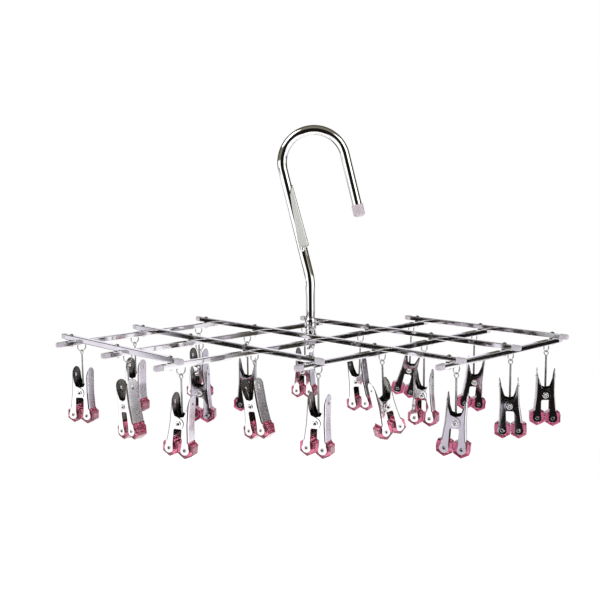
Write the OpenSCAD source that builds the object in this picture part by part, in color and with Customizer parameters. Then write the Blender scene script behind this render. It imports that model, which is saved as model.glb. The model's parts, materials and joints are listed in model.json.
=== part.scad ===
// Folding clip drying hanger: a tube hook on a riveted scissor lattice with eighteen hanging clips.
// Millimetres, +Z up, +X along the lattice's long side. The origin is the hook's seat, inside the
// top of its bend, where a rail carries the hanger.

/* [Lattice] */
// Distance between neighbouring rivets along a bar
pitch = 90; // [84:1:100]
// Angle of each set of bars from the long side, as the lattice stands open
spread = 45; // [40:1:50]
// Side of the square bar tube
bar_w = 5.6; // [5.4:0.2:6.4]
// Wall of the bar tube
bar_wall = 0.6; // [0.5:0.1:0.8]
// Length of tube beyond a bar's last rivet
bar_overhang = 9.5; // [7:0.5:12]
// Length of each end plug outside its tube
plug_out = 8.5; // [6:0.5:12]
// Diameter of the rivet heads
rivet_head_d = 4.4; // [4.2:0.2:5]
// Diameter of the rivet shanks
rivet_d = 2.6; // [2.4:0.2:3]

/* [Hook] */
// Diameter of the hook tube
hook_d = 10; // [9:0.5:11]
// Radius of the bend, to the middle of the tube
bend_r = 33; // [32:1:36]
// Lean of the two legs beside the bend
hook_lean = 13.5; // [12:0.5:15]
// Length of the tube's upright foot
foot_len = 45; // [40:1:50]
// Length of the leaning leg between the foot and the bend
leg_len = 110; // [106:1:114]
// Length of the free leg under the bend
tip_len = 60; // [54:1:62]
// Diameter of the soft cap on the tip
cap_d = 12.6; // [12.4:0.2:14]

/* [Clips] */
// Drop from the link's eye to a clip's pivot
link_drop = 43.5; // [41:0.5:45]
// Depth of a clip along its pivot
clip_depth = 16; // [15:0.5:17]
// Distance across the flats of a roller
roller_w = 15.6; // [15:0.1:15.8]
// Distance from a wire loop to the crossing it hangs beside
loop_offset = 11.5; // [11:0.5:16]

/* [Hidden] */
$fn = 48;

// Bars and crossings are numbered from -2 to 2. A crossing is riveted where the numbers differ by 2 or less.
UPPER = ["a", "b", "c", "d", "e"];
LOWER = ["1", "2", "3", "4", "5"];
BARS = [-2:2];
MAX_STEP = 2;

// Each clip as it hangs: its crossing, the turn of its face about the vertical, the tilt of its jaws
// and, where its link isn't plumb, the lean of the link
CLIPS = [
    ["a", "1", -16, 2], ["a", "2", -38, -8], ["a", "3", -20, 6],
    ["b", "1", -28, 3], ["b", "2", -5, 0], ["b", "3", -34, -11], ["b", "4", -24, 3],
    ["c", "1", -25, 0], ["c", "2", -4, 0], ["c", "4", 25, -15.5, -3], ["c", "5", -15, 4],
    ["d", "2", -22, 0], ["d", "3", -26, -7, 3], ["d", "4", -22, 0], ["d", "5", -14, -3],
    ["e", "3", -10, 14, 3], ["e", "4", -5, 6], ["e", "5", -10, 0]
];

function clip_name(c) = str("clip_", c[0], c[1]);

// Heights, measured from the middle of the gap between the two layers of bars
layer_gap = 0.4;
upper_z = (layer_gap + bar_w) / 2;
lower_z = -upper_z;
lattice_top = layer_gap / 2 + bar_w;
lattice_bottom = -lattice_top;

run_gap = 0.05; // between a shaft and the hole it turns in
seat_gap = 0.02; // between two pieces that only rest on each other

// Hook: points of its centre line, from the foot to the tip
foot_z = lattice_top + 6;
foot_bend_r = 60;
hook_wall = 1;
leg_dir = [-sin(hook_lean), cos(hook_lean)];
leg_side = [cos(hook_lean), sin(hook_lean)];
leg_start = [0, foot_z + foot_len] + foot_bend_r * (leg_side - [1, 0]);
bend_c = leg_start + leg_len * leg_dir + bend_r * leg_side;
tip = bend_c + bend_r * leg_side - tip_len * leg_dir;
seat = [bend_c[0], bend_c[1] + bend_r - hook_d / 2];

cap_len = 13;
cap_grip = 7;

// Wind gate: a strip beside the leaning leg, hinged near the leg's foot
gate_pivot_t = 26; // distance of its pin up the leg
gate_len = 67;
gate_cheek_len = 57;
gate_t = 0.8;
gate_foot = hook_d / 2 + 2.8; // how far it stands from the leg's middle at its pin
gate_nose = hook_d / 2 + 1.1; // and at its free end
gate_pin_r = 1.25;

// Wire loops and links
loop_r = 4.8;
loop_wire = 0.6;
loop_z = lattice_bottom - 2.3;
loop_leg_hole = 1.25;
swing_z = loop_z - loop_r;
eye_r = 2.4;
eye_wire = 0.55;
eye_z = swing_z - (eye_r - eye_wire - loop_wire - run_gap);
pivot_z = eye_z - link_drop;
link_gap = 0.05;
link_end_r = 2.3;

// Clip, measured from its pivot
handle_top = 27.5;
handle_x = 9.3;
shoulder_x = 9.65;
hip_x = 11.9;
hip_z = -22;
flange_top = 21;
strip_bottom = -16.5;
strip_t = 0.8;
valley_top = 11.5;
plate_top = 6;
slot_top = -5;
slot_x = 4.3;
roller_z = -24.5;
roller_x = roller_w / 2 + 0.15;
roller_len = 11.5;
boss_r = 4.7;
sheet_t = 0.7;
jaw_step = 0.8; // how much narrower the moving lever is, so that its cheeks pass inside
pivot_r = 1.6;
pivot_bore = 1;
pivot_head_r = 3;
pin_r = 1.25;
coil_r = 2.75;
coil_wire = 0.5;
elbow_swell = 0.06; // how much fuller the wire is where it bends
arm_reach = 19;

// Directions of the two sets of bars, and the bars' numbers
function upper_dir() = [cos(spread), -sin(spread)];
function lower_dir() = [cos(spread), sin(spread)];
function first_at(i) = max(-2, i - MAX_STEP);
function last_at(i) = min(2, i + MAX_STEP);
function index(name, names) = search([name], names)[0] - 2;

// A loop hangs on the side of its crossing that faces the lattice's long middle line
function loop_side(i, j) = i < j ? 1 : i > j ? -1 : i < 0 ? 1 : -1;
function loop_at(i, j) = i * pitch + loop_side(i, j) * loop_offset;

module seated() {
    translate([-seat[0], 0, -seat[1]]) children();
}

// The frame of one bar: X along it, its origin at its own crossing 0
module on_upper(i) {
    seated() translate(concat(i * pitch * lower_dir(), upper_z)) rotate([0, 0, -spread]) children();
}

module on_lower(j) {
    seated() translate(concat(j * pitch * upper_dir(), lower_z)) rotate([0, 0, spread]) children();
}

module along_x(from, to) {
    translate([from, 0, 0]) rotate([90, 0, 90]) linear_extrude(to - from) children();
}

module rounded_square(w, r) {
    square([w, w - 2 * r], center = true);
    square([w - 2 * r, w], center = true);
    for (x = [-1, 1], y = [-1, 1]) translate([x, y] * (w / 2 - r)) circle(r);
}

module bar_tube(from, to) {
    along_x(from, to) difference() {
        rounded_square(bar_w, 0.8);
        square(bar_w - 2 * bar_wall, center = true);
    }
}

module rivet_holes(first, last) {
    for (k = [first:last]) translate([k * pitch, 0, -bar_w]) cylinder(h = 2 * bar_w, r = rivet_d / 2 + run_gap);
}

// A rivet through both layers, with domed heads, standing on the middle of the gap
module rivet() {
    head_h = 1.3;
    dome_r = (pow(rivet_head_d / 2, 2) + head_h * head_h) / (2 * head_h);
    half = lattice_top + seat_gap;
    rotate_extrude() {
        translate([0, -half]) square([rivet_d / 2, 2 * half]);
        for (m = [0, 1]) mirror([0, m]) translate([0, half]) intersection() {
            translate([0, head_h - dome_r]) circle(dome_r);
            square([rivet_head_d / 2, head_h]);
        }
    }
}

module spacer() {
    h = layer_gap / 2 - seat_gap;
    rotate_extrude() translate([rivet_d / 2 + run_gap, -h]) square([1.7, 2 * h]);
}

module upper_bar(i) {
    from = first_at(i);
    to = last_at(i);
    color("gainsboro") on_upper(i) {
        difference() {
            bar_tube(from * pitch - bar_overhang, to * pitch + bar_overhang);
            rivet_holes(from, to);
        }
        for (j = [from:to]) if (i != 0 || j != 0) translate([j * pitch, 0, -upper_z]) {
            rivet();
            spacer();
        }
    }
}

module wire_ring(r, wire) {
    rotate([90, 0, 0]) rotate_extrude() translate([r, 0]) circle(wire);
}

module lower_bar(j) {
    from = first_at(j);
    to = last_at(j);
    color("silver") on_lower(j) {
        difference() {
            bar_tube(from * pitch - bar_overhang, to * pitch + bar_overhang);
            rivet_holes(from, to);
            for (i = [from:to]) if (i != 0 || j != 0) loop_leg_holes(loop_at(i, j));
        }
        for (i = [from:to]) if (i != 0 || j != 0) translate([loop_at(i, j), 0, loop_z - lower_z]) {
            wire_ring(loop_r, loop_wire);
        }
    }
}

// The two holes in a bar's underside that one wire loop passes through
module loop_leg_holes(x) {
    half_chord = sqrt(pow(loop_r, 2) - pow(lattice_bottom + bar_wall / 2 - loop_z, 2));
    for (m = [-1, 1]) translate([x + m * half_chord, 0, -bar_w / 2 - 1]) cylinder(h = 1.5 + bar_wall, r = loop_leg_hole);
}

// Soft plugs: a rounded head outside the tube and a stem inside it
module plug() {
    stem = 7;
    head_r = 1.2;
    translate([seat_gap, 0, 0]) along_x(0, plug_out - head_r) rounded_square(bar_w, 1);
    translate([plug_out - head_r, 0, 0]) along_x(0, head_r) rounded_square(bar_w - 1.2, 1.6);
    along_x(-stem, 1) square(bar_w - 2 * bar_wall - 0.1, center = true);
}

module end_plugs(i) {
    translate([last_at(i) * pitch + bar_overhang, 0, 0]) plug();
    translate([first_at(i) * pitch - bar_overhang, 0, 0]) mirror([1, 0, 0]) plug();
}

module upper_plugs(i) {
    color("lavender") on_upper(i) end_plugs(i);
}

module lower_plugs(j) {
    color("lavender") on_lower(j) end_plugs(j);
}

// The hook's plane: local X stays, local Y becomes up
module hook_plane() {
    seated() rotate([90, 0, 0]) children();
}

module tube_ring() {
    difference() {
        circle(hook_d / 2);
        circle(hook_d / 2 - hook_wall);
    }
}

// A straight run of tube up local Y, with what follows at its far end
module tube_run(len) {
    rotate([-90, 0, 0]) linear_extrude(len) tube_ring();
    translate([0, len, 0]) children();
}

// A bend of the tube whose centre lies at local X = c, with what follows at its far end
module tube_bend(c, sweep) {
    translate([c, 0, 0]) {
        rotate([0, 0, c < 0 ? 0 : 180 - sweep]) rotate_extrude(angle = sweep) translate([abs(c), 0]) tube_ring();
        rotate([0, 0, c < 0 ? sweep : -sweep]) translate([-c, 0, 0]) children();
    }
}

module hook_tube() {
    color("silver") hook_plane() difference() {
        translate([0, foot_z, 0]) {
            tube_run(foot_len) tube_bend(-foot_bend_r, hook_lean) tube_run(leg_len) tube_bend(bend_r, 180) tube_run(tip_len);
        }
        gate_axis() cylinder(h = 2 * hook_d, r = gate_pin_r + run_gap, center = true);
    }
}

module gate_axis() {
    translate(concat(leg_start + gate_pivot_t * leg_dir, 0)) rotate([0, 0, 90 + hook_lean]) children();
}

// Rounded cap over the hook's cut end
module hook_tip_cap() {
    r = cap_d / 2;
    round_r = 3.5;
    outside = cap_len - cap_grip;
    color("mistyrose") hook_plane() {
        translate(concat(tip, 0)) rotate([0, 0, hook_lean - 90]) rotate([0, 90, 0]) difference() {
            rotate_extrude() {
                translate([0, -cap_grip]) square([r, cap_len - round_r]);
                square([r - round_r, outside]);
                translate([r - round_r, outside - round_r]) intersection() {
                    circle(round_r);
                    square(round_r);
                }
            }
            translate([0, 0, -cap_grip - 1]) cylinder(h = cap_grip + 1 + seat_gap, r = hook_d / 2 + seat_gap);
        }
    }
}

// The gate: a channel that folds round the leg, X along it from its pin
module hook_gate() {
    fork = hook_d / 2 + 0.3;
    root = -2.8;
    strip_start = 2; // beyond the pin, so the strip clears the leg when the gate is open
    cheek_full = 10; // how far up each cheek keeps its full width
    cheek_top = -1; // where each cheek ends, seen from the leg's middle line
    color("silver") hook_plane() gate_axis() {
        translate([0, 0, -fork - gate_t]) linear_extrude(2 * (fork + gate_t)) polygon([
            [strip_start, -gate_foot], [gate_len, -gate_nose],
            [gate_len, gate_t - gate_nose], [strip_start, gate_t - gate_foot]
        ]);
        for (m = [0, 1]) mirror([0, 0, m]) translate([0, 0, fork]) linear_extrude(gate_t) difference() {
            union() {
                circle(-root);
                polygon([
                    [root, 0], [strip_start, -gate_foot], [gate_len, -gate_nose],
                    [gate_cheek_len, cheek_top], [cheek_full, -root], [0, -root]
                ]);
            }
            circle(gate_pin_r + run_gap);
        }
    }
}

// A flat or round ring that stands on z = 0
module ring_block(inner, outer, h) {
    rotate_extrude() translate([inner, 0]) square([outer - inner, h]);
}

// Ferrule and nut at the hook's foot, centre bolt, washers, domed nut under the lattice, and the gate's pin
module hook_fasteners() {
    bolt_r = rivet_d / 2;
    hole_r = bolt_r + run_gap;
    nut_h = foot_z - lattice_top - 1;
    cap_nut_h = 3.5;
    color("silver") seated() {
        translate([0, 0, foot_z]) ring_block(hook_d / 2 + seat_gap, hook_d / 2 + 1.2, 11);
        translate([0, 0, lattice_bottom - 3]) cylinder(h = lattice_top - lattice_bottom + 5, r = bolt_r);
        translate([0, 0, lattice_top + 1 + seat_gap]) ring_block(hole_r, hook_d / 2 + 0.6, nut_h - 2 * seat_gap);
        translate([0, 0, lattice_top + seat_gap]) ring_block(hole_r, 6.5, 1 - seat_gap);
        translate([0, 0, lattice_bottom - 1]) ring_block(hole_r, 5, 1 - seat_gap);
        spacer();
        translate([0, 0, lattice_bottom - 1 - seat_gap - cap_nut_h]) difference() {
            union() {
                cylinder(h = cap_nut_h, r = 4.2, $fn = 6);
                sphere(r = 3.2);
            }
            translate([0, 0, cap_nut_h / 2]) cylinder(h = cap_nut_h, r = hole_r);
        }
    }
    color("silver") hook_plane() gate_axis() gate_pin();
}

module gate_pin() {
    reach = hook_d / 2 + 0.3 + gate_t;
    head_h = 1;
    cylinder(h = 2 * (reach + head_h), r = gate_pin_r, center = true);
    for (m = [0, 1]) mirror([0, 0, m]) translate([0, 0, reach + seat_gap]) cylinder(h = head_h, r = gate_pin_r + 0.9);
}

// A clip's link hangs plumb, or leans by its last value, in the plane across its lower bar
module link_frame(c) {
    i = index(c[0], UPPER);
    j = index(c[1], LOWER);
    spot = j * pitch * upper_dir() + loop_at(i, j) * lower_dir();
    seated() translate(concat(spot, swing_z)) rotate([0, 0, spread - 90]) rotate([0, link_lean(c), 0]) children();
}

// A clip's own frame: origin on its pivot, X across the jaws, Y along the pivot, Z up, its moving jaw at +X
module clip_frame(c) {
    link_frame(c) translate([0, 0, pivot_z - swing_z]) rotate([0, -link_lean(c), 0]) rotate([0, 0, 90 - spread + c[2]]) {
        rotate([0, c[3], 0]) mirror([c[3] < 0 ? 1 : 0, 0, 0]) children();
    }
}

function link_lean(c) = len(c) > 4 ? c[4] : 0;

module rod(from, to, r) {
    d = to - from;
    translate(from) rotate([0, acos(d[2] / norm(d)), atan2(d[1], d[0])]) cylinder(h = norm(d), r = r);
}

// Wire link: an eye round the loop above and two wires side by side down to the pivot
module link_wires() {
    down = pivot_z - swing_z;
    eye = eye_z - swing_z;
    translate([0, 0, eye]) wire_ring(eye_r, eye_wire);
    for (x = [-1, 1] * (eye_wire + link_gap)) {
        translate([x, 0, down + link_end_r]) cylinder(h = eye - eye_r - down - link_end_r, r = eye_wire);
    }
}

// Half of the gap between the two edges of a clip at height z above its pivot
function edge_x(z) = z > 0 ? shoulder_x - (shoulder_x - handle_x) * z / handle_top
                           : shoulder_x + (hip_x - shoulder_x) * z / hip_z;

// A lever's side, on the +X side of the pivot
module cheek_outline() {
    flange = 1.5;
    polygon([
        [edge_x(flange_top), flange_top], [edge_x(flange_top) - flange, flange_top - 2],
        [edge_x(valley_top) - flange - 0.4, valley_top], [4.2, plate_top + 0.8], [0, plate_top - 0.4],
        [-4.4, 3.4], [-5.2, 0], [-4, slot_top + 0.8], [0, slot_top], [slot_x - 1.2, slot_top],
        [slot_x, slot_top - 1.2], [slot_x, roller_z + 3], [roller_x, roller_z], [hip_x, hip_z],
        [shoulder_x, 0]
    ]);
    translate([roller_x, roller_z]) circle(boss_r);
}

// A plate in the clip's XZ plane, its outer face at Y = -y
module upright(y, t) {
    translate([0, t - y, 0]) rotate([90, 0, 0]) linear_extrude(t) children();
}

// A pressed lever: two cheeks and the strip that joins them, with a half-round handle
module lever(half_depth) {
    difference() {
        union() {
            for (m = [0, 1]) mirror([0, m, 0]) upright(half_depth, sheet_t) cheek_outline();
            strip(half_depth);
        }
        rotate([90, 0, 0]) cylinder(h = 2 * clip_depth, r = pivot_r + run_gap, center = true);
        translate([roller_x, 0, roller_z]) rotate([90, 0, 0]) cylinder(h = 2 * clip_depth, r = pin_r + run_gap, center = true);
        translate([shoulder_x, 0, arm_reach]) rotate([0, 90, 0]) cylinder(h = 6, r = 1.3, center = true);
    }
}

module strip(half_depth) {
    intersection() {
        upright(half_depth, 2 * half_depth) polygon([
            [edge_x(handle_top), handle_top], [shoulder_x, 0], [edge_x(strip_bottom), strip_bottom],
            [edge_x(strip_bottom) - strip_t, strip_bottom], [shoulder_x - strip_t, 0],
            [edge_x(handle_top) - strip_t, handle_top]
        ]);
        along_x(0, 2 * shoulder_x) {
            translate([-half_depth, strip_bottom - 1]) square([2 * half_depth, handle_top - half_depth - strip_bottom + 1]);
            translate([0, handle_top - half_depth]) circle(half_depth);
        }
    }
}

// Six-sided soft roller, corners up and down, and the pin that holds it between the cheeks
module roller(half_depth) {
    translate([roller_x, 0, roller_z]) rotate([90, 0, 0]) {
        difference() {
            rotate(90) cylinder(h = roller_len, r = roller_w / sqrt(3), center = true, $fn = 6);
            cylinder(h = roller_len + 1, r = pin_r + run_gap, center = true);
        }
        cylinder(h = 2 * half_depth + 1, r = pin_r, center = true);
        for (m = [0, 1]) mirror([0, 0, m]) translate([0, 0, half_depth + seat_gap]) cylinder(h = 0.5, r = pin_r + 0.7);
    }
}

// Hollow rivet through all four cheeks
module eyelet() {
    half = clip_depth / 2 + seat_gap;
    rotate([90, 0, 0]) rotate_extrude() {
        translate([pivot_bore, -half - 0.6]) square([pivot_r - pivot_bore, 2 * half + 1.2]);
        for (m = [0, 1]) mirror([0, m]) translate([pivot_bore, half]) square([pivot_head_r - pivot_bore, 0.6]);
    }
}

// An arm of the torsion spring, with its end bent out through the hole in the handle
module spring_arm(start) {
    elbow = [edge_x(arm_reach) - 1.6, 0, arm_reach];
    rod(start, elbow, coil_wire);
    translate(elbow) sphere(r = coil_wire + elbow_swell);
    rod(elbow, elbow + [2.6, 0, 0], coil_wire);
}

// The clip's fixed half, with the link, the eyelet and the spring's coil and one of its arms
module clip_holder(c) {
    color("silver") link_frame(c) link_wires();
    clip_frame(c) {
        color("silver") {
            wire_ring(link_end_r, eye_wire);
            mirror([1, 0, 0]) lever(clip_depth / 2);
            eyelet();
            for (m = [0, 1]) mirror([0, m, 0]) translate([0, -1.4, 0]) rotate([90, 0, 0]) {
                ring_block(coil_r - coil_wire, coil_r + coil_wire, 2.4);
            }
            mirror([1, 0, 0]) spring_arm([2.2, -3, 1.6]);
        }
        color("palevioletred") mirror([1, 0, 0]) roller(clip_depth / 2);
    }
}

// The clip's moving half
module clip_jaw(c) {
    half_depth = clip_depth / 2 - jaw_step;
    clip_frame(c) {
        color("gainsboro") {
            lever(half_depth);
            spring_arm([3.3, 3, 2.7]);
        }
        color("palevioletred") roller(half_depth);
    }
}

hook_tube();
hook_tip_cap();
hook_gate();
hook_fasteners();
for (i = BARS) {
    upper_bar(i);
    lower_bar(i);
    upper_plugs(i);
    lower_plugs(i);
}
for (c = CLIPS) {
    clip_holder(c);
    clip_jaw(c);
}
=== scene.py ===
import json
import math

import bmesh
import bpy
from mathutils import Matrix, Vector

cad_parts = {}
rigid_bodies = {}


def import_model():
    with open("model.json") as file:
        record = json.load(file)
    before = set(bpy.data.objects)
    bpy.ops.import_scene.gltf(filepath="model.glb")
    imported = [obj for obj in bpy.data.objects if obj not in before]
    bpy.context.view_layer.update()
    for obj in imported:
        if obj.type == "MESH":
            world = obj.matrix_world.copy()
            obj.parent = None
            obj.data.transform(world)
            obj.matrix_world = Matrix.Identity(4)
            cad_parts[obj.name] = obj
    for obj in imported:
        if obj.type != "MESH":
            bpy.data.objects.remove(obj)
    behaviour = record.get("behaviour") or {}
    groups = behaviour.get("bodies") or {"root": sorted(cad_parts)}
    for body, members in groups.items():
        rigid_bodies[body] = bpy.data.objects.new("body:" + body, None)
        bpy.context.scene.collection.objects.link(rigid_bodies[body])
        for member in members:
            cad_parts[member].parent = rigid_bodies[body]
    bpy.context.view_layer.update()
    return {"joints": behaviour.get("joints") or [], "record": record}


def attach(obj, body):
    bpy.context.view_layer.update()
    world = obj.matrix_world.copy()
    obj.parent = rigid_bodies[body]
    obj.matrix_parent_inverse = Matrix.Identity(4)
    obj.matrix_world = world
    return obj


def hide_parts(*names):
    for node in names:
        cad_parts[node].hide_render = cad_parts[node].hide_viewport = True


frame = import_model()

MM = 0.001

# Sizes in millimetres, the same as in part.scad
PITCH, SPREAD, BAR_W, OVERHANG, PLUG_OUT = 90, math.radians(45), 5.6, 9.5, 8.5
HOOK_R, BEND_R, LEAN, FOOT_LEN, LEG_LEN, TIP_LEN = 5, 33, math.radians(13.5), 45, 110, 60
TOP = 0.2 + BAR_W
FOOT_Z, FOOT_BEND_R = TOP + 6, 60
CAP_R, CAP_LEN, CAP_GRIP = 6.3, 13, 7
GATE_PIVOT, GATE_START, GATE_LEN, GATE_FOOT, GATE_NOSE, GATE_HALF, GATE_T = 26, 2, 67, 7.8, 6.1, 6.1, 0.8
GATE_EAR, GATE_FULL, GATE_CHEEK, GATE_TOP = 2.8, 10, 57, -1
LOOP_R, LOOP_WIRE, EYE_R, LINK_WIRE, LINK_END_R = 4.8, 0.6, 2.4, 0.55, 2.3
DEPTH, JAW_DEPTH, SHEET, STRIP = 8.0, 7.2, 0.7, 0.8
HANDLE_TOP, HANDLE_X, SHOULDER_X, HIP_X, HIP_Z, STRIP_BOTTOM = 27.5, 9.3, 9.65, 11.9, -22, -16.5
ROLLER_W, ROLLER_X, ROLLER_Z, ROLLER_HALF, BOSS_R, PIN_R = 15.6, 7.95, -24.5, 5.75, 4.7, 1.25
COIL_R, COIL_WIRE, ARM_Z, SLOT_X = 2.75, 0.5, 19, 4.3

LEG_DIR = Vector((-math.sin(LEAN), 0, math.cos(LEAN)))
LEG_SIDE = Vector((math.cos(LEAN), 0, math.sin(LEAN)))
LEG_START = Vector((0, 0, FOOT_Z + FOOT_LEN)) + FOOT_BEND_R * (LEG_SIDE - Vector((1, 0, 0)))
BEND_C = LEG_START + LEG_LEN * LEG_DIR + BEND_R * LEG_SIDE
TIP = BEND_C + BEND_R * LEG_SIDE - TIP_LEN * LEG_DIR
SEAT = BEND_C + Vector((0, 0, BEND_R - HOOK_R))
UPPER_DIR = Vector((math.cos(SPREAD), -math.sin(SPREAD), 0))
LOWER_DIR = Vector((math.cos(SPREAD), math.sin(SPREAD), 0))


# ---------------------------------------------------------------- materials

def material(name, colours, rough, metallic, grain, bump, **sockets):
    """A Principled material with a broad noise in its colour and a fine one in its roughness and bump."""
    m = bpy.data.materials.new(name)
    m.use_nodes = True
    nodes, links = m.node_tree.nodes, m.node_tree.links
    bsdf = nodes["Principled BSDF"]
    bsdf.inputs["Metallic"].default_value = metallic
    for key, value in sockets.items():
        bsdf.inputs[key.replace("_", " ")].default_value = value
    coords = nodes.new("ShaderNodeTexCoord")
    fine = nodes.new("ShaderNodeTexNoise")
    fine.inputs["Scale"].default_value = grain
    fine.inputs["Detail"].default_value = 4
    broad = nodes.new("ShaderNodeTexNoise")
    broad.inputs["Scale"].default_value = 45
    broad.inputs["Detail"].default_value = 3
    for n in (fine, broad):
        links.new(coords.outputs["Object"], n.inputs["Vector"])
    tone = nodes.new("ShaderNodeValToRGB")
    tone.color_ramp.elements[0].position, tone.color_ramp.elements[1].position = 0.35, 0.65
    tone.color_ramp.elements[0].color, tone.color_ramp.elements[1].color = (*colours[0], 1), (*colours[1], 1)
    links.new(broad.outputs["Fac"], tone.inputs["Fac"])
    links.new(tone.outputs["Color"], bsdf.inputs["Base Color"])
    gloss = nodes.new("ShaderNodeMapRange")
    gloss.inputs["From Min"].default_value, gloss.inputs["From Max"].default_value = 0.3, 0.7
    gloss.inputs["To Min"].default_value, gloss.inputs["To Max"].default_value = rough
    links.new(fine.outputs["Fac"], gloss.inputs["Value"])
    links.new(gloss.outputs["Result"], bsdf.inputs["Roughness"])
    relief = nodes.new("ShaderNodeBump")
    relief.inputs["Strength"].default_value = bump
    relief.inputs["Distance"].default_value = 0.0001
    links.new(fine.outputs["Fac"], relief.inputs["Height"])
    links.new(relief.outputs["Normal"], bsdf.inputs["Normal"])
    return m


TUBE = material("Polished tube", ((0.78, 0.78, 0.77), (0.84, 0.84, 0.83)), (0.02, 0.05), 1, 400, 0.02)
BAR = material("Bar steel", ((0.72, 0.71, 0.73), (0.80, 0.79, 0.81)), (0.03, 0.08), 1, 700, 0.03)
SHEET_STEEL = material("Pressed steel", ((0.68, 0.67, 0.68), (0.78, 0.77, 0.78)), (0.04, 0.09), 1, 700, 0.03)
SATIN_STRIP = material("Satin strip", ((0.76, 0.74, 0.78), (0.86, 0.84, 0.88)), (0.20, 0.30), 1, 700, 0.04)
# Painted shade: a near-black steel on inner faces and cut edges, standing in for the shade inside the clips
# and the dark outlines along edges.
PAINTED_SHADE_STEEL = material("Painted shade steel", ((0.10, 0.095, 0.085), (0.20, 0.19, 0.175)), (0.20, 0.34), 1, 700, 0.05)
WIRE = material("Steel wire", ((0.42, 0.41, 0.41), (0.56, 0.55, 0.55)), (0.08, 0.18), 1, 1200, 0.05)
GATE = material("Satin gate", ((0.86, 0.86, 0.85), (0.93, 0.93, 0.92)), (0.30, 0.42), 0.25, 500, 0.04)
PLUG = material("End plug", ((0.62, 0.58, 0.66), (0.70, 0.67, 0.74)), (0.30, 0.42), 0, 600, 0.05)
CAP = material("Tip cap", ((0.66, 0.57, 0.64), (0.72, 0.64, 0.70)), (0.35, 0.48), 0, 600, 0.05)
ROLLER = material("Rose roller", ((0.68, 0.11, 0.25), (0.84, 0.26, 0.40)), (0.05, 0.14), 0, 350, 0.06,
                  Transmission_Weight=0.8, IOR=1.45, Coat_Weight=0.4, Coat_Roughness=0.04)


# ---------------------------------------------------------------- mesh helpers (millimetres in, metres out)

def finish_mesh(bm, name, mat, sharp=40, others=(), pick=None):
    """Makes bm a smooth mesh. pick takes a face's centre and normal and may give its material's number."""
    bmesh.ops.remove_doubles(bm, verts=bm.verts, dist=1e-4)
    bmesh.ops.recalc_face_normals(bm, faces=bm.faces)
    for face in bm.faces if pick else ():
        chosen = pick(face.calc_center_median(), face.normal)
        face.material_index = face.material_index if chosen is None else chosen
    bm.transform(Matrix.Scale(MM, 4))
    mesh = bpy.data.meshes.new(name)
    bm.to_mesh(mesh)
    bm.free()
    mesh.shade_smooth()
    mesh.set_sharp_from_angle(angle=math.radians(sharp))
    for m in (mat, *others):
        mesh.materials.append(m)
    return flattened(mesh)


def flattened(mesh):
    """The mesh with area-weighted normals, so a flat face with soft edges mirrors as a flat face."""
    holder = bpy.data.objects.new("holder", mesh)
    bpy.context.scene.collection.objects.link(holder)
    normals = holder.modifiers.new("Normals", "WEIGHTED_NORMAL")
    normals.keep_sharp, normals.weight = True, 90
    bpy.context.view_layer.update()
    out = bpy.data.meshes.new_from_object(holder.evaluated_get(bpy.context.evaluated_depsgraph_get()))
    out.name = mesh.name + "_mesh"
    bpy.data.objects.remove(holder)
    bpy.data.meshes.remove(mesh)
    return out


def add_rings(bm, rings, closed=False):
    """Skins equal-length rings of points into a tube."""
    made = [[bm.verts.new(p) for p in ring] for ring in rings]
    pairs = list(zip(made, made[1:])) + ([(made[-1], made[0])] if closed else [])
    n = len(rings[0])
    for a, b in pairs:
        for k in range(n):
            bm.faces.new((a[k], a[(k + 1) % n], b[(k + 1) % n], b[k]))
    if not closed:
        bm.faces.new(made[0][::-1])
        bm.faces.new(made[-1])


def add_sweep(bm, path, radius, sides=12, closed=False):
    """A round wire or tube along a path of points."""
    path = [Vector(p) for p in path]
    count = len(path)
    side = None
    rings = []
    for k, p in enumerate(path):
        before = path[k - 1] if k or closed else p
        after = path[(k + 1) % count] if k < count - 1 or closed else p
        along = (after - before).normalized()
        if side is None:
            side = along.orthogonal().normalized()
        side = (side - along * side.dot(along)).normalized()
        up = along.cross(side)
        rings.append([p + radius * (math.cos(a) * side + math.sin(a) * up)
                      for a in (2 * math.pi * s / sides for s in range(sides))])
    add_rings(bm, rings, closed)


def add_lathe(bm, profile, sides=32, at=Matrix.Identity(4)):
    """Turns a closed profile of (radius, height) about Z."""
    rings = [[at @ Vector((r * math.cos(a), r * math.sin(a), z)) for r, z in profile]
             for a in (2 * math.pi * s / sides for s in range(sides))]
    made = [[bm.verts.new(p) for p in ring] for ring in rings]
    n = len(profile)
    for s in range(sides):
        a, b = made[s], made[(s + 1) % sides]
        for k in range(n):
            m = (k + 1) % n
            if profile[k][0] < 1e-6 and profile[m][0] < 1e-6:
                continue
            corners = [a[k], b[k], b[m], a[m]]
            if profile[k][0] < 1e-6:
                corners = [a[k], b[m], a[m]]
            if profile[m][0] < 1e-6:
                corners = [a[k], b[k], a[m]]
            bm.faces.new(corners)


def rounded(corners, radius, steps=4):
    """A closed outline with its corners rounded."""
    out = []
    n = len(corners)
    for k in range(n):
        p, q, s = (Vector(corners[i % n]) for i in (k - 1, k, k + 1))
        a, b = (p - q).normalized(), (s - q).normalized()
        half = math.acos(max(-1, min(1, a.dot(b)))) / 2
        reach = min(radius / math.tan(half), (p - q).length * 0.49, (s - q).length * 0.49)
        true_r = reach * math.tan(half)
        centre = q + (a + b).normalized() * (true_r / math.sin(half))
        start, end = q + a * reach - centre, q + b * reach - centre
        turn = start.angle_signed(end)
        for t in range(steps + 1):
            out.append(tuple(centre + Matrix.Rotation(-turn * t / steps, 2) @ start))
    return out


def circle(x, y, r, sides):
    turns = [2 * math.pi * k / sides for k in range(sides)]
    return [(x + r * math.cos(a), y + r * math.sin(a)) for a in turns]


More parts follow.
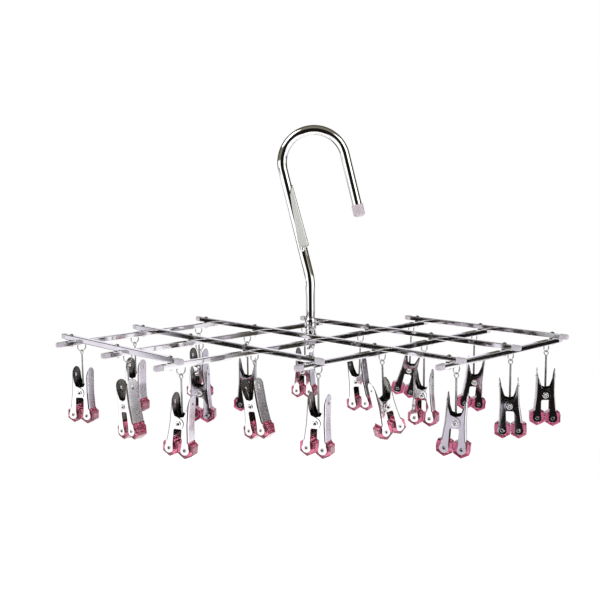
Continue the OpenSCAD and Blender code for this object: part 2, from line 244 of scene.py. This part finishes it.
def add_plate(bm, outline, holes, thickness, soft, at, edged=False):
    """A flat plate with holes and softened edges. If edged, its edges take the second material, a painted
    shade.
    """
    curve = bpy.data.curves.new("plate", "CURVE")
    curve.dimensions, curve.fill_mode = "2D", "BOTH"
    curve.extrude, curve.offset = thickness / 2 - soft, -soft
    curve.bevel_depth, curve.bevel_resolution = soft, 1
    for loop in [outline, *holes]:
        s = curve.splines.new("POLY")
        s.points.add(len(loop) - 1)
        for point, (x, y) in zip(s.points, loop):
            point.co = (x, y, 0, 1)
        s.use_cyclic_u = True
    holder = bpy.data.objects.new("plate", curve)
    bpy.context.scene.collection.objects.link(holder)
    bpy.context.view_layer.update()
    mesh = bpy.data.meshes.new_from_object(holder.evaluated_get(bpy.context.evaluated_depsgraph_get()))
    for face in mesh.polygons:
        face.material_index = 1 if edged and abs(face.normal.z) < 0.95 else 0
    mesh.transform(at)
    bm.from_mesh(mesh)
    bpy.data.objects.remove(holder)
    bpy.data.meshes.remove(mesh)


def axes(origin, x, y, z):
    """The matrix that takes local millimetre axes to the row frame."""
    m = Matrix((x, y, z)).transposed().to_4x4()
    m.translation = origin
    return m


def place(mesh, name, body, at=Matrix.Identity(4), nodes=()):
    """Puts a mesh into the scene at a matrix given in metres."""
    o = bpy.data.objects.new(name, mesh)
    bpy.context.scene.collection.objects.link(o)
    o.matrix_world = at
    bpy.context.view_layer.update()
    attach(o, body)
    if nodes:
        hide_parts(*nodes)
    return o


def lifted(point):
    """The translation, in metres, to a point given in millimetres from the lattice's centre."""
    return Matrix.Translation((Vector(point) - SEAT) * MM)


def arc(centre, radius, start, end, steps):
    """Points of an arc in the XZ plane, angles from +X towards +Z."""
    return [centre + radius * Vector((math.cos(a), 0, math.sin(a)))
            for a in (start + (end - start) * k / steps for k in range(steps + 1))]


def dome(r, h, z):
    """Profile of a domed head that stands on height z."""
    steps = 6
    big = (r * r + h * h) / (2 * h)
    full = math.asin(min(1, r / big))
    turns = [full * (1 - k / steps) for k in range(steps + 1)]
    return [(0, z)] + [(big * math.sin(a), z + h - big + big * math.cos(a)) for a in turns]


# ---------------------------------------------------------------- camera, light, floor

def look():
    """The photo's camera, fitted to the rivets: position in metres, angles in radians."""
    focal_px, photo_px, sensor = 868.25, 600, 36
    yaw, pitch, roll = -0.0219, 0.1218, -0.0082
    forward = Vector((math.sin(yaw) * math.cos(pitch), math.cos(yaw) * math.cos(pitch), -math.sin(pitch)))
    right = Vector((math.cos(yaw), -math.sin(yaw), 0))
    up = right.cross(forward)
    r = right * math.cos(roll) + up * math.sin(roll)
    u = up * math.cos(roll) - right * math.sin(roll)
    data = bpy.data.cameras.new("Camera")
    data.sensor_width, data.lens = sensor, sensor * focal_px / photo_px
    data.clip_start, data.clip_end = 0.05, 50
    cam = bpy.data.objects.new("Camera", data)
    bpy.context.scene.collection.objects.link(cam)
    cam.matrix_world = axes(Vector((0.00428, -0.90808, -0.06021)), r, u, -forward)
    bpy.context.scene.camera = cam


def studio():
    """A white tent with dark gaps, laid out by how far round from the front and how high up they stand."""
    world = bpy.data.worlds.new("Studio")
    bpy.context.scene.world = world
    world.use_nodes = True
    nodes, links = world.node_tree.nodes, world.node_tree.links
    nodes.clear()
    coords = nodes.new("ShaderNodeTexCoord")
    split = nodes.new("ShaderNodeSeparateXYZ")
    links.new(coords.outputs["Generated"], split.inputs["Vector"])
    around = nodes.new("ShaderNodeMapRange")
    around.inputs["From Min"].default_value, around.inputs["From Max"].default_value = 1, -1
    links.new(split.outputs["Y"], around.inputs["Value"])

    def scale(stops, value):
        """A colour ramp from 0 to 1 with stops of (position, colour)."""
        node = nodes.new("ShaderNodeValToRGB")
        while len(node.color_ramp.elements) < len(stops):
            node.color_ramp.elements.new(0.5)
        for e, (position, c) in zip(node.color_ramp.elements, stops):
            e.position, e.color = position, (*c, 1)
        links.new(value.outputs["Result"], node.inputs["Fac"])
        return node.outputs["Color"]

    def ramp(stops):
        """Stops are (degrees round from the front, colour)."""
        return scale(sorted(((1 + math.cos(math.radians(d))) / 2, c) for d, c in stops), around)

    def mix(below, above, socket, start, end):
        step = nodes.new("ShaderNodeMapRange")
        step.interpolation_type = "SMOOTHSTEP"
        step.inputs["From Min"].default_value, step.inputs["From Max"].default_value = start, end
        links.new(socket, step.inputs["Value"])
        node = nodes.new("ShaderNodeMix")
        node.data_type = "RGBA"
        links.new(step.outputs["Result"], node.inputs["Factor"])
        links.new(below, node.inputs["A"])
        links.new(above, node.inputs["B"])
        return node.outputs["Result"]

    white, soft, lilac, pale = (1.0, 1.0, 1.0), (0.80, 0.79, 0.81), (0.50, 0.47, 0.54), (0.68, 0.66, 0.72)
    black, olive, brown = (0.008, 0.007, 0.006), (0.05, 0.045, 0.03), (0.16, 0.15, 0.12)
    low_right = ramp([(0, white), (100, white), (106, lilac), (180, lilac)])
    low_left = ramp([(0, white), (104, white), (110, black), (180, black)])
    right = ramp([(0, black), (36, black), (41, white), (60, white), (64, soft), (82, soft), (85, olive),
                  (90, black), (112, black), (118, lilac), (180, lilac)])
    left = ramp([(0, black), (36, black), (41, white), (72, white), (77, black), (99, black), (102, pale),
                 (180, pale)])
    level = ramp([(0, black), (36, black), (41, white), (102, white), (108, black), (180, black)])
    high = ramp([(0, black), (30, black), (40, brown), (70, brown), (110, olive), (150, olive), (156, pale),
                 (180, pale)])
    across = nodes.new("ShaderNodeMapRange")
    across.inputs["From Min"].default_value = -1
    links.new(split.outputs["X"], across.inputs["Value"])
    stops = [(-0.42, white), (-0.39, lilac), (-0.30, lilac), (-0.285, black), (0.28, black), (0.32, white)]
    facing = scale([((x + 1) / 2, c) for x, c in stops], across)
    low = mix(low_left, low_right, split.outputs["X"], -0.02, 0.02)
    low = mix(facing, low, split.outputs["Y"], -0.50, -0.45)
    bars = mix(left, right, split.outputs["X"], -0.02, 0.02)
    colour = mix(low, bars, split.outputs["Z"], -0.205, -0.195)
    colour = mix(colour, level, split.outputs["Z"], -0.12, -0.10)
    colour = mix(colour, high, split.outputs["Z"], 0.05, 0.11)
    seen = nodes.new("ShaderNodeBackground")
    seen.inputs["Color"].default_value = (1, 1, 1, 1)
    lit = nodes.new("ShaderNodeBackground")
    lit.inputs["Strength"].default_value = 1.5
    links.new(colour, lit.inputs["Color"])
    path = nodes.new("ShaderNodeLightPath")
    pick = nodes.new("ShaderNodeMixShader")
    links.new(path.outputs["Is Camera Ray"], pick.inputs["Fac"])
    links.new(lit.outputs["Background"], pick.inputs[1])
    links.new(seen.outputs["Background"], pick.inputs[2])
    out = nodes.new("ShaderNodeOutputWorld")
    links.new(pick.outputs["Shader"], out.inputs["Surface"])
    bpy.context.scene.view_settings.view_transform = "Standard"
    for name, where, size, power in (("Key", (-0.9, -0.5, 0.9), 0.8, 9), ("Fill", (1.0, -0.6, 0.5), 0.9, 6)):
        light = bpy.data.lights.new(name, "AREA")
        light.size, light.energy = size, power
        o = bpy.data.objects.new(name, light)
        o.location = where
        o.rotation_euler = (Vector((0, 0, -0.2)) - Vector(where)).to_track_quat("-Z", "Y").to_euler()
        bpy.context.scene.collection.objects.link(o)


def floor():
    bm = bmesh.new()
    bmesh.ops.create_circle(bm, cap_ends=True, segments=96, radius=0.52)
    mesh = bpy.data.meshes.new("Floor")
    bm.to_mesh(mesh)
    bm.free()
    m = bpy.data.materials.new("Floor")
    m.use_nodes = True
    bsdf = m.node_tree.nodes["Principled BSDF"]
    bsdf.inputs["Base Color"].default_value = (0.9, 0.9, 0.9, 1)
    bsdf.inputs["Roughness"].default_value = 0.9
    bsdf.inputs["Emission Color"].default_value = (1, 1, 1, 1)
    bsdf.inputs["Emission Strength"].default_value = 1.0
    mesh.materials.append(m)
    o = bpy.data.objects.new("Floor", mesh)
    o.location = (0, 0.08, -0.5)
    bpy.context.scene.collection.objects.link(o)


# ---------------------------------------------------------------- hook

def hook():
    step = 1.5
    foot = [Vector((0, 0, FOOT_Z + step * k)) for k in range(int(FOOT_LEN / step))]
    path = foot + arc(Vector((-FOOT_BEND_R, 0, FOOT_Z + FOOT_LEN)), FOOT_BEND_R, 0, LEAN, 8)
    path += [LEG_START + LEG_DIR * LEG_LEN * k / 24 for k in range(1, 24)]
    path += arc(BEND_C, BEND_R, math.pi + LEAN, LEAN, 64)
    path += [BEND_C + BEND_R * LEG_SIDE - LEG_DIR * TIP_LEN * k / 16 for k in range(1, 17)]
    bm = bmesh.new()
    add_sweep(bm, path, HOOK_R, 48)
    mesh = finish_mesh(bm, "hook_tube", TUBE)
    place(mesh, "Hook_tube", "hook", lifted((0, 0, 0)), ["hook_tube"])

    bm = bmesh.new()
    r = CAP_R
    out = CAP_LEN - CAP_GRIP
    low, end_r = -CAP_GRIP, 3.5
    profile = [(HOOK_R + 0.03, low), (r - 0.5, low), (r - 0.1, low + 0.25), (r, low + 0.8)]
    profile += [(r - 0.12, low + 1.5), (r - 0.12, 1.0), (r - 0.15, out - end_r)]
    profile += [(r - 0.15 - end_r + end_r * math.cos(a), out - end_r + end_r * math.sin(a))
                for a in (math.pi / 2 * k / 8 for k in range(1, 9))]
    profile += [(1.2, out - 0.05), (0.9, out - 0.35), (0, out - 0.4), (0, 0.05), (HOOK_R + 0.03, 0.05)]
    add_lathe(bm, profile, 48)
    mesh = finish_mesh(bm, "hook_tip_cap", CAP, 50)
    z = -LEG_DIR
    at = lifted(TIP) @ axes(Vector(), LEG_SIDE, z.cross(LEG_SIDE), z)
    place(mesh, "Hook_tip_cap", "hook", at, ["hook_tip_cap"])


def fasteners():
    def piece(name, parts):
        bm = bmesh.new()
        for part in parts:
            add_lathe(bm, part, 32)
        place(finish_mesh(bm, name, TUBE, 35), name, "hook", lifted((0, 0, 0)))

    r = HOOK_R
    z = FOOT_Z
    ferrule = [(r + 0.02, z), (r + 0.9, z), (r + 1.2, z + 0.4), (r + 1.2, z + 2.2), (r + 0.85, z + 2.6),
               (r + 0.85, z + 3.0), (r + 1.15, z + 3.4), (r + 1.15, z + 9.6), (r + 0.9, z + 10.4),
               (r + 0.5, z + 11), (r + 0.02, z + 11)]
    piece("Ferrule", [ferrule])
    low = TOP + 1.02
    high = FOOT_Z - 0.02
    seat = [(1.36, low), (r + 0.2, low), (r + 0.6, low + 0.5), (r + 0.6, high - 1.4), (r - 0.4, high - 1.0),
            (r - 0.4, high - 0.4), (r + 0.1, high), (1.36, high)]
    piece("Foot_nut", [seat])
    washer_up = [(1.36, TOP + 0.02), (6.3, TOP + 0.02), (6.5, TOP + 0.25), (6.5, TOP + 0.8), (6.2, TOP + 1),
                 (1.36, TOP + 1)]
    washer_down = [(1.36, -TOP - 1), (4.8, -TOP - 1), (5, -TOP - 0.8), (5, -TOP - 0.2), (4.8, -TOP - 0.02),
                   (1.36, -TOP - 0.02)]
    spacer = [(1.35, -0.18), (3.0, -0.18), (3.0, 0.18), (1.35, 0.18)]
    bolt = [(0, -TOP - 3), (1.3, -TOP - 3), (1.3, TOP + 2), (0, TOP + 2)]
    piece("Foot_washers", [washer_up, washer_down, spacer, bolt])
    base = -TOP - 1.02
    bm = bmesh.new()
    hexagon = [(4.2 * math.cos(math.pi / 3 * k), 4.2 * math.sin(math.pi / 3 * k)) for k in range(6)]
    rings = []
    for z, s in ((base, 0.96), (base - 0.3, 1.0), (base - 2.9, 1.0), (base - 3.3, 0.93), (base - 3.5, 0.8)):
        rings.append([Vector((x * s, y * s, z)) for x, y in rounded(hexagon, 0.35, 2)])
    add_rings(bm, rings)
    add_lathe(bm, [(0, base - 3.3)] + [(3.2 * math.cos(a), base - 3.5 - 3.2 * math.sin(a))
                                       for a in (math.pi / 2 * k / 8 for k in range(9))], 32)
    place(finish_mesh(bm, "cap_nut", TUBE, 35), "Cap_nut", "hook", lifted((0, 0, 0)),
          ["hook_fasteners"])

    pin = LEG_START + GATE_PIVOT * LEG_DIR
    bm = bmesh.new()
    reach = 6.12
    add_lathe(bm, [(0, -reach), (1.25, -reach), (1.25, reach), (0, reach)], 24)
    for m in (1, -1):
        add_lathe(bm, [(x, m * y) for x, y in dome(2.15, 1.0, reach)], 24)
    at = lifted(pin) @ axes(Vector(), LEG_SIDE, LEG_DIR, LEG_SIDE.cross(LEG_DIR))
    place(finish_mesh(bm, "gate_pin", TUBE, 35), "Gate_pin", "hook", at)


def gate():
    """A tapering channel round the leg: X up the leg from its pin, Y across it, Z along the pin."""
    bend, half = 1.6, GATE_HALF - GATE_T / 2
    nose, nose_len = 60, 7.2
    steps = [GATE_START] + [k * 3.0 for k in range(1, 19)] + [56, GATE_CHEEK, 58.5, nose, 62, 64, 66, GATE_LEN]
    bm = bmesh.new()
    rows = []
    for x in steps:
        y0 = -(GATE_FOOT + (GATE_NOSE - GATE_FOOT) * (x - GATE_START) / (GATE_LEN - GATE_START)) + 0.4
        if x <= GATE_CHEEK:
            y1 = GATE_EAR - (GATE_EAR - GATE_TOP) * max(0, x - GATE_FULL) / (GATE_CHEEK - GATE_FULL)
        else:
            y1 = GATE_TOP + (y0 + 0.2 - GATE_TOP) * (x - GATE_CHEEK) / (GATE_LEN - GATE_CHEEK)
        squeeze = 1.0 if x < nose else math.sqrt(max(0.02, 1 - ((x - nose) / nose_len) ** 2))
        b = min(bend, max(0.1, y1 - y0))
        h = half * squeeze
        row = [Vector((x, y1, -h)), Vector((x, max(y0 + b, y1 * 0.5 + (y0 + b) * 0.5), -h))]
        row += [Vector((x, y0 + b - b * math.sin(a), -h + b * (1 - math.cos(a)) * min(1, squeeze)))
                for a in (math.pi / 2 * k / 5 for k in range(6))]
        row += [Vector((x, y0, h * s)) for s in (-0.3, 0.3)]
        mirrored = [Vector((p.x, p.y, -p.z)) for p in reversed(row[:8])]
        rows.append([bm.verts.new(p) for p in row + mirrored])
    for a, b in zip(rows, rows[1:]):
        for k in range(len(a) - 1):
            bm.faces.new((a[k], a[k + 1], b[k + 1], b[k]))
    bmesh.ops.recalc_face_normals(bm, faces=bm.faces)
    bmesh.ops.solidify(bm, geom=bm.faces[:], thickness=GATE_T)
    ear = [(GATE_START + 0.2, GATE_EAR)]
    quarter = [math.pi / 2 * (1 + k / 8) for k in range(9)]
    ear += [(GATE_EAR * math.cos(a), GATE_EAR * math.sin(a)) for a in quarter]
    ear += [(GATE_START + 0.2, 1.2 - GATE_FOOT)]
    for m in (1, -1):
        add_plate(bm, ear, [circle(0, 0, 1.3, 20)], 0.78, 0.15, Matrix.Translation((0, 0, m * half)), True)
    # The channel's web and the cut edges take the second material, painted shade.
    mesh = finish_mesh(bm, "gate", GATE, 45, [PAINTED_SHADE_STEEL], lambda c, n: 1 if abs(n.z) < 0.55 else None)
    at = lifted(LEG_START + GATE_PIVOT * LEG_DIR)
    at = at @ axes(Vector(), LEG_DIR, -LEG_SIDE, LEG_DIR.cross(-LEG_SIDE))
    place(mesh, "Hook_gate", "gate", at, ["hook_gate"])


# ---------------------------------------------------------------- lattice

def square_ring(w, r, x):
    h = w / 2
    return [Vector((x, y, z)) for y, z in rounded([(-h, -h), (h, -h), (h, h), (-h, h)], r)]


def bar_mesh(first, last, name):
    bm = bmesh.new()
    a, b = first * PITCH - OVERHANG, last * PITCH + OVERHANG
    stations = [(a, 0.24), (a + 0.12, 0)] + [(a + (b - a) * k / 8, 0) for k in range(1, 8)]
    stations += [(b - 0.12, 0), (b, 0.24)]
    add_rings(bm, [square_ring(BAR_W - s, 0.8, x) for x, s in stations])
    return finish_mesh(bm, name, BAR, 30)


def plug_mesh():
    bm = bmesh.new()
    w = BAR_W
    end_r = 2.2
    sections = [(-6, w - 1.3, 0.4), (-0.3, w - 1.3, 0.4), (0.02, w - 1.3, 0.4), (0.02, w - 0.3, 0.9),
                (0.25, w, 1.0), (PLUG_OUT - end_r, w - 0.15, 1.1)]
    sections += [(PLUG_OUT - end_r + end_r * math.sin(a), w - 0.15 - end_r * (1 - math.cos(a)), 1.3)
                 for a in (math.pi / 2 * k / 6 for k in range(1, 7))]
    add_rings(bm, [square_ring(s, r, x) for x, s, r in sections])
    return finish_mesh(bm, "plug", PLUG, 35)


def rivet_mesh():
    bm = bmesh.new()
    rim = TOP + 0.12
    head = [(0, TOP - 0.1), (2.2, TOP - 0.1), (2.2, rim)] + dome(2.15, 1.18, rim)[1:]
    for m in (1, -1):
        add_lathe(bm, [(r, m * z) for r, z in head], 32)
    add_lathe(bm, [(1.35, -0.18), (3, -0.18), (3, 0.18), (1.35, 0.18)], 32)
    return finish_mesh(bm, "rivet", WIRE, 40)


def lattice():
    letters, digits = "abcde", "12345"
    plug, rivet = plug_mesh(), rivet_mesh()
    ring = bmesh.new()
    add_sweep(ring, arc(Vector(), LOOP_R, 0, 2 * math.pi, 48)[:-1], LOOP_WIRE, 12, closed=True)
    loop = finish_mesh(ring, "loop", WIRE)
    bars = {}
    loops = {}
    for j in frame["joints"]:
        if j["name"].startswith("clip_") and j["name"].endswith("_swing"):
            middle = Vector(j["pos_m"]) + Vector((0, 0, LOOP_R * MM))
            loops.setdefault(j["parent"], []).append((j["name"][5:7], middle))
    for layer, names, along, across, height in (("upper", letters, UPPER_DIR, LOWER_DIR, TOP - BAR_W / 2),
                                                ("lower", digits, LOWER_DIR, UPPER_DIR, BAR_W / 2 - TOP)):
        for k, letter in enumerate(names):
            i = k - 2
            first, last = max(-2, i - 2), min(2, i + 2)
            body = f"{layer}_{letter}"
            at = lifted(across * (i * PITCH) + Vector((0, 0, height)))
            at = at @ axes(Vector(), along, Vector((0, 0, 1)).cross(along), Vector((0, 0, 1)))
            key = (first, last)
            if key not in bars:
                bars[key] = bar_mesh(first, last, f"bar_{first + 2}{last + 2}")
            place(bars[key], f"Bar_{letter}", body, at, [f"{layer}_bar_{letter}"])
            ends = (("near", first * PITCH - OVERHANG, math.pi), ("far", last * PITCH + OVERHANG, 0))
            for end, x, turn in ends:
                where = at @ Matrix.Translation((x * MM, 0, 0)) @ Matrix.Rotation(turn, 4, "Z")
                place(plug, f"Plug_{letter}_{end}", body, where, [f"{layer}_plugs_{letter}"])
            if layer == "upper":
                for j in range(first, last + 1):
                    if (i, j) != (0, 0):
                        spot = lifted(LOWER_DIR * (i * PITCH) + UPPER_DIR * (j * PITCH))
                        place(rivet, f"Rivet_{letter}{digits[j + 2]}", body, spot)
            else:
                for name, spot in loops[body]:
                    turn = axes(spot, LOWER_DIR, Vector((0, 0, 1)).cross(LOWER_DIR), Vector((0, 0, 1)))
                    place(loop, f"Loop_{name}", body, turn)


# ---------------------------------------------------------------- clips

def edge_x(z):
    """Half of the gap between a clip's two outer edges at height z above its pivot."""
    if z > 0:
        return SHOULDER_X - (SHOULDER_X - HANDLE_X) * z / HANDLE_TOP
    return SHOULDER_X + (HIP_X - SHOULDER_X) * z / HIP_Z


def lever_mesh(half, side, name):
    """A pressed lever on side +1 or -1 of the pivot: two cheeks and a rolled strip with a round end."""
    bm = bmesh.new()
    roll, cheek_top = 1.3, 21
    boss = [(ROLLER_X + BOSS_R * math.cos(a), ROLLER_Z + BOSS_R * math.sin(a))
            for a in (math.radians(t) for t in range(200, 385, 12))]
    outer = edge_x(cheek_top)
    inner = outer - 1.5
    outline = [(outer - roll, cheek_top), (inner - 0.2, 17.5), (inner - 0.9, 13.5), (inner - 2.2, 10)]
    outline += [(4.6, 7.4), (0, 5.9), (-3.2, 4.6), (-4.9, 2.2), (-5.2, -0.6), (-4.2, -3.6), (-1.6, -4.9)]
    outline += [(SLOT_X - 1.4, -5.1), (SLOT_X - 0.3, -5.7), (SLOT_X, -7), (SLOT_X, ROLLER_Z + 4.5)]
    outline += boss
    outline += [(HIP_X - 0.2, HIP_Z + 1), (edge_x(STRIP_BOTTOM) - roll + 1.25, STRIP_BOTTOM - 1.2),
                (edge_x(STRIP_BOTTOM) - roll, STRIP_BOTTOM + 0.3), (SHOULDER_X - roll, 0)]
    holes = [circle(0, 0, 1.65, 24), circle(ROLLER_X, ROLLER_Z, 1.3, 20)]
    for m in (1, -1):
        at = Matrix.Translation((0, m * (half - SHEET / 2), 0)) @ Matrix.Rotation(math.pi / 2, 4, "X")
        add_plate(bm, outline, holes, SHEET, 0.22, at, True)
    zc = HANDLE_TOP - half
    heights = [STRIP_BOTTOM + (zc - STRIP_BOTTOM) * k / 14 for k in range(15)]
    heights += [zc + half * math.sin(math.pi / 2 * k / 12) for k in range(1, 13)]
    part = bmesh.new()
    rows = []
    for z in heights:
        wide = math.sqrt(max(0.0004, 1 - (max(0, z - zc) / half) ** 2)) * (half - 0.35)
        x = edge_x(z) - 0.02
        r = roll * (1 - 0.7 * max(0, z - zc) / half)
        fit = min(r, wide)
        row = [Vector((x - r, -wide, z))]
        row += [Vector((x - r + r * math.sin(a), -wide + fit * (1 - math.cos(a)), z))
                for a in (math.pi / 2 * k / 4 for k in range(1, 5))]
        flat = wide - fit
        row += [Vector((x, flat * s, z)) for s in (-0.6, -0.2, 0.2, 0.6)]
        row += [Vector((p.x, -p.y, p.z)) for p in reversed(row[:5])]
        rows.append([part.verts.new(p) for p in row])
    for a, b in zip(rows, rows[1:]):
        for k in range(len(a) - 1):
            part.faces.new((a[k], a[k + 1], b[k + 1], b[k]))
    centres = [(f, f.calc_center_median()) for f in part.faces]
    hole = [f for f, c in centres if abs(c.y) < 0.9 and abs(c.z - ARM_Z) < 1.2]
    bmesh.ops.delete(part, geom=hole, context="FACES")
    bmesh.ops.solidify(part, geom=part.faces[:], thickness=STRIP * 0.9)
    flat_mesh = bpy.data.meshes.new("strip")
    part.to_mesh(flat_mesh)
    part.free()
    bm.from_mesh(flat_mesh)
    bpy.data.meshes.remove(flat_mesh)
    if side < 0:
        bm.transform(Matrix.Scale(-1, 4, (1, 0, 0)))

    def pick(c, n):
        """The cheeks' inner faces and the strip's take painted shade, and the strip's outer face is satin."""
        if abs(n.y) > 0.9:
            return 1 if abs(c.y) < half - SHEET / 2 else None
        if abs(c.x) < edge_x(c.z) - 0.5:
            return 1 if abs(c.y) < half - SHEET else None
        return 2

    return finish_mesh(bm, name, SHEET_STEEL, 40, [PAINTED_SHADE_STEEL, SATIN_STRIP], pick)


def roller_mesh(side):
    """A six-sided soft roller with rounded corners and dished ends, its axis along Y."""
    bm = bmesh.new()
    r = ROLLER_W / math.sqrt(3)
    hexagon = [(r * math.sin(math.pi / 3 * k), r * math.cos(math.pi / 3 * k)) for k in range(6)]
    end = -ROLLER_HALF
    profile = [(end + 0.5, 0.5), (end + 0.3, 0.62), (end, 0.86), (end + 0.12, 0.96), (end + 0.6, 1.0)]
    profile += [(-y, s) for y, s in reversed(profile)]
    rings = []
    for y, s in profile:
        rings.append([Vector((x * s, y, z * s)) for x, z in rounded(hexagon, 1.4, 4)])
    bore_r = 1.3
    spokes = [Vector((p.x, 0, p.z)).normalized() for p in rings[0]]
    bore = [[Vector((bore_r * p.x, y, bore_r * p.z)) for p in spokes] for y in (-end - 0.5, end + 0.5)]
    add_rings(bm, rings + bore, closed=True)
    bm.transform(Matrix.Translation((side * ROLLER_X, 0, ROLLER_Z)))
    return finish_mesh(bm, f"roller_{side}", ROLLER, 30)


def pin_mesh(half, side, name):
    bm = bmesh.new()
    end = half + 0.5
    turn = Matrix.Translation((side * ROLLER_X, 0, ROLLER_Z)) @ Matrix.Rotation(math.pi / 2, 4, "X")
    up = [(PIN_R, half), (1.9, half + 0.02), (1.95, half + 0.18), (1.75, end - 0.06), (1.4, end)]
    up += [(1.05, end - 0.1), (0.9, end - 0.5), (0.85, half - 2)]
    add_lathe(bm, up + [(0, half - 2.1), (0, 2.1 - half)] + [(r, -z) for r, z in reversed(up)], 24, turn)
    return finish_mesh(bm, name, WIRE, 40)


def eyelet_mesh():
    bm = bmesh.new()
    turn = Matrix.Rotation(math.pi / 2, 4, "X")
    head = DEPTH + 0.02
    up = [(1.6, head - 1), (1.6, head), (2.6, head), (2.95, head + 0.12), (3.0, head + 0.3)]
    up += [(2.85, head + 0.5), (2.3, head + 0.6), (1.7, head + 0.55), (1.25, head + 0.3), (1.0, head - 0.4)]
    add_lathe(bm, up + [(r, -z) for r, z in reversed(up)], 32, turn)
    return finish_mesh(bm, "eyelet", SHEET_STEEL, 50)


def spring_mesh(side):
    """The coil and the arm on the fixed half."""
    bm = bmesh.new()
    turns = 2.25
    for m in (1, -1):
        helix = []
        for k in range(int(turns * 20) + 1):
            a = 2 * math.pi * k / 20
            y = m * (1.9 + 1.4 * k / (turns * 20))
            helix.append(Vector((COIL_R * math.cos(a) * m, y, COIL_R * math.sin(a))))
        add_sweep(bm, helix, COIL_WIRE, 8)
    arm(bm, side, Vector((2.2, -3, 1.6)))
    return finish_mesh(bm, "spring", WIRE)


def arm(bm, side, start):
    elbow = Vector((edge_x(ARM_Z) - 1.6, 0, ARM_Z))
    path = [start, start.lerp(elbow, 0.35), start.lerp(elbow, 0.7), start.lerp(elbow, 0.93)]
    path += [elbow + Vector((0.25, 0, -0.1)), elbow + Vector((0.9, 0, 0)), elbow + Vector((2.5, 0, 0))]
    add_sweep(bm, [Vector((p.x * side, p.y, p.z)) for p in path], COIL_WIRE, 8)


def jaw_arm_mesh():
    bm = bmesh.new()
    arm(bm, 1, Vector((3.3, 3, 2.7)))
    return finish_mesh(bm, "jaw_arm", WIRE)


def link_mesh(drop):
    """The wire link in its own frame: Z up to the swing axis, X across the lower bar."""
    bm = bmesh.new()
    eye = Vector((0, 0, -1.2))
    gap = LINK_WIRE + 0.05
    low = -drop + LINK_END_R
    spread = math.asin(gap / EYE_R)
    left = [Vector((-gap, 0, low + (eye.z - EYE_R - low) * k / 10)) for k in range(10)]
    eye_arc = arc(eye, EYE_R, -math.pi / 2 - spread, -math.pi * 2.5 + spread, 30)
    right = [Vector((gap, 0, p.z)) for p in reversed(left)]
    add_sweep(bm, left + eye_arc + right, LINK_WIRE, 10)
    return finish_mesh(bm, "link", WIRE, 60)


def clips():
    joints = {j["name"]: j for j in frame["joints"]}
    mounts = {m["name"]: m for m in frame["record"]["mounts"]}
    lever, jaw_lever = lever_mesh(DEPTH, -1, "lever"), lever_mesh(JAW_DEPTH, 1, "jaw_lever")
    roller, jaw_roller = roller_mesh(-1), roller_mesh(1)
    pin, jaw_pin = pin_mesh(DEPTH, -1, "pin"), pin_mesh(JAW_DEPTH, 1, "jaw_pin")
    eyelet, spring, jaw_arm = eyelet_mesh(), spring_mesh(-1), jaw_arm_mesh()
    ring = bmesh.new()
    add_sweep(ring, arc(Vector(), LINK_END_R, 0, 2 * math.pi, 28)[:-1], LINK_WIRE, 10, closed=True)
    end_ring = finish_mesh(ring, "link_end", WIRE)
    link = None
    for name in sorted(n[:-6] for n in joints if n.startswith("clip_") and n.endswith("_swing")):
        swing, squeeze, grip = joints[name + "_swing"], joints[name + "_squeeze"], mounts["grip_" + name[5:]]
        pivot, top = Vector(squeeze["pos_m"]), Vector(swing["pos_m"])
        z = -Vector(grip["axis"]).normalized()
        x = z.cross(Vector(squeeze["axis"])).normalized()
        at = axes(pivot, x, z.cross(x), z)
        if link is None:
            link = link_mesh((top - pivot).length / MM)
        along = (top - pivot).normalized()
        bar = Vector(swing["axis"]).normalized()
        link_at = axes(top, bar.cross(along), bar, along)
        holder, jaw = name, name + "_jaw"
        tag = "Clip_" + name[5:]
        place(lever, tag + "_lever", holder, at, [name + "_holder"])
        place(link, tag + "_link", holder, link_at)
        place(end_ring, tag + "_link_end", holder, at)
        place(eyelet, tag + "_eyelet", holder, at)
        place(spring, tag + "_spring", holder, at)
        place(roller, tag + "_roller", holder, at)
        place(pin, tag + "_pin", holder, at)
        place(jaw_lever, tag + "_jaw_lever", jaw, at, [name + "_jaw"])
        place(jaw_roller, tag + "_jaw_roller", jaw, at)
        place(jaw_pin, tag + "_jaw_pin", jaw, at)
        place(jaw_arm, tag + "_jaw_arm", jaw, at)


look()
studio()
floor()
hook()
fasteners()
gate()
lattice()
clips()
